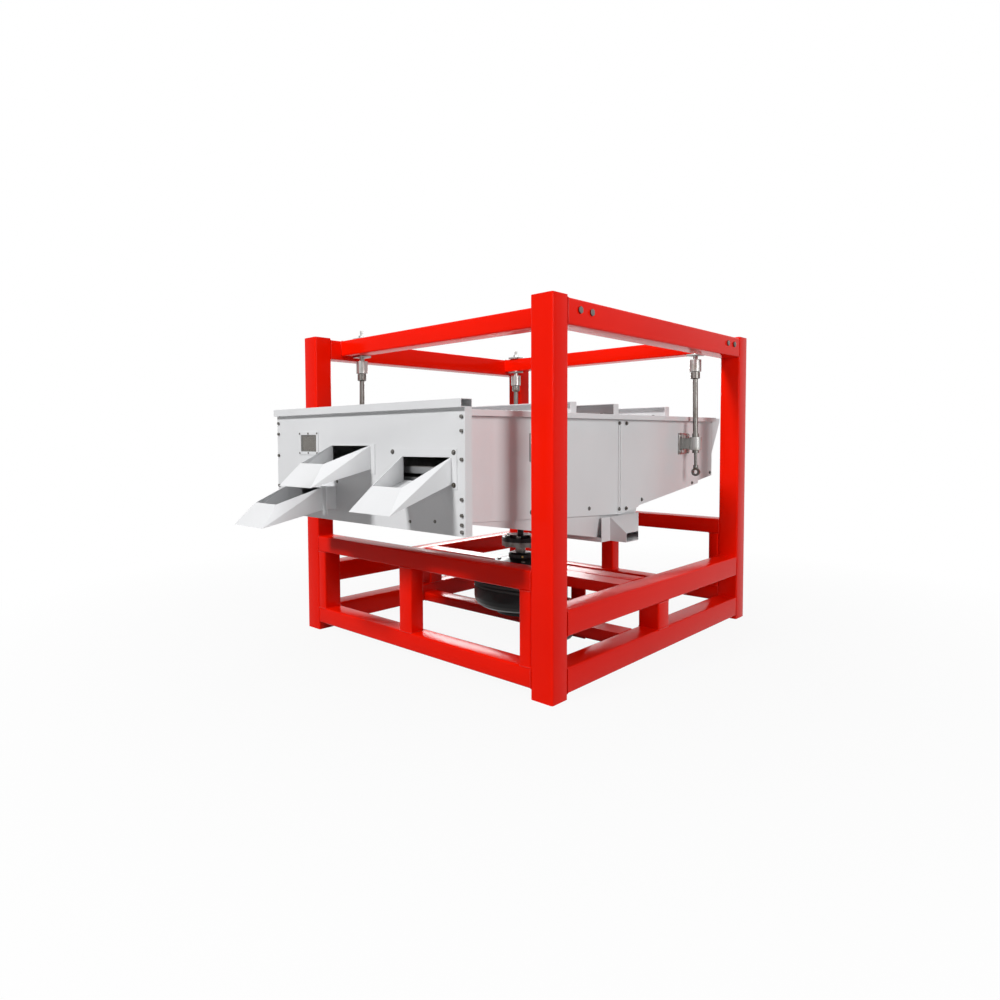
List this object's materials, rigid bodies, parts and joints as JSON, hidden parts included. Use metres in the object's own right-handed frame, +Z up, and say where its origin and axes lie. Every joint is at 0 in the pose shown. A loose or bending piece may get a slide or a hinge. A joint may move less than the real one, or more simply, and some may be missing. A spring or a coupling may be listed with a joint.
{
  "type": "seed separator",
  "caption": "Flat gyratory sieve box hung on leaning rods in a square-tube frame, with a vertical crank drive below and spouts on the front face.",
  "frame": {"origin": "on the floor, midway between the four post feet", "axes": "-Y is the discharge end with the three spouts, +Y the feed end, +X the side of the fines spout and the motor, +Z up"},
  "size_m": [1.574, 2.655, 1.564],
  "materials": {
    "red_frame": "gloss red enamel on welded tube",
    "white_sheet": "gloss white enamel on steel sheet",
    "bright_steel": "zinc plated",
    "black_iron": "satin black paint",
    "dark_motor": "satin dark grey",
    "belt": "fabric-faced V-belt",
    "clear": "clear pane",
    "deck_metal": "mill finish bar frame under wire cloth"
  },
  "bodies": {
    "frame": {"post_front_right": "red_frame", "post_front_left": "red_frame", "post_rear_right": "red_frame", "post_rear_left": "red_frame", "right_top_rail": "red_frame", "right_upper_rail": "red_frame", "right_lower_rail": "red_frame", "left_top_rail": "red_frame", "left_upper_rail": "red_frame", "left_lower_rail": "red_frame", "side_studs": "red_frame", "front_upper_rail": "red_frame", "front_lower_rail": "red_frame", "rear_upper_rail": "red_frame", "rear_lower_rail": "red_frame", "end_uprights": "red_frame", "front_cross_rail": "red_frame", "rear_cross_rail": "red_frame", "cross_rail_bolts": "bright_steel", "upper_drive_beam": "red_frame", "lower_drive_beam": "red_frame", "hanger_sockets": "bright_steel", "foot_bearing": "black_iron", "top_bearing": "black_iron", "motor_plate": "red_frame", "motor": "dark_motor", "belts": "belt"},
    "drive_shaft": {"main_shaft": "bright_steel", "belt_wheel": "black_iron", "shaft_disc": "bright_steel", "crank_flange": "black_iron", "coupling_bolts": "bright_steel"},
    "motor_pulley": {"motor_pulley": "black_iron"},
    "hanger_rod_front_right": {"hanger_rod_front_right": "bright_steel"},
    "hanger_rod_front_left": {"hanger_rod_front_left": "bright_steel"},
    "hanger_rod_rear_right": {"hanger_rod_rear_right": "bright_steel"},
    "hanger_rod_rear_left": {"hanger_rod_rear_left": "bright_steel"},
    "sieve_box": {"side_panels_right": "white_sheet", "side_panels_left": "white_sheet", "seam_strips": "white_sheet", "front_face": "white_sheet", "window_frame": "bright_steel", "window_glass": "clear", "rear_wall": "white_sheet", "feed_hopper": "white_sheet", "top_cover": "white_sheet", "cover_ribs": "white_sheet", "bottom_pan": "white_sheet", "fines_spout": "white_sheet", "spout_one": "white_sheet", "spout_two": "white_sheet", "spout_three": "white_sheet", "spout_neck": "white_sheet", "sieve_deck_upper": "deck_metal", "sieve_deck_middle": "deck_metal", "sieve_deck_lower": "deck_metal", "box_drive_beam": "white_sheet", "crank_bearing": "black_iron", "rod_clamps": "bright_steel", "face_bolts": "bright_steel"}
  },
  "joints": [
    {"name": "shaft_spin", "type": "hinge", "parent": "frame", "child": "drive_shaft", "pos_m": [0, -0.08, 0.38], "axis": [0, 0, 1], "continuous": true},
    {"name": "sieve_orbit", "type": "hinge", "parent": "drive_shaft", "child": "sieve_box", "pos_m": [0.01539, -0.0997, 0.55], "axis": [0, 0, 1], "continuous": true},
    {"name": "motor_spin", "type": "hinge", "parent": "frame", "child": "motor_pulley", "pos_m": [0.32, -0.23, 0.25], "axis": [0, 0, 1], "continuous": true},
    {"name": "rod_swing_front_right", "type": "hinge", "parent": "frame", "child": "hanger_rod_front_right", "pos_m": [0.605, -0.655, 1.37], "axis": [0, 0, 1], "continuous": true},
    {"name": "rod_swing_front_left", "type": "hinge", "parent": "frame", "child": "hanger_rod_front_left", "pos_m": [-0.605, -0.655, 1.37], "axis": [0, 0, 1], "continuous": true},
    {"name": "rod_swing_rear_right", "type": "hinge", "parent": "frame", "child": "hanger_rod_rear_right", "pos_m": [0.605, 0.655, 1.37], "axis": [0, 0, 1], "continuous": true},
    {"name": "rod_swing_rear_left", "type": "hinge", "parent": "frame", "child": "hanger_rod_rear_left", "pos_m": [-0.605, 0.655, 1.37], "axis": [0, 0, 1], "continuous": true}
  ],
  "couplings": [
    {"joint": "shaft_spin", "follows": "sieve_orbit", "ratio": -1},
    {"joint": "motor_spin", "follows": "sieve_orbit", "ratio": -4.9175},
    {"joint": "rod_swing_front_right", "follows": "sieve_orbit", "ratio": -1},
    {"joint": "rod_swing_front_left", "follows": "sieve_orbit", "ratio": -1},
    {"joint": "rod_swing_rear_right", "follows": "sieve_orbit", "ratio": -1},
    {"joint": "rod_swing_rear_left", "follows": "sieve_orbit", "ratio": -1}
  ]
}
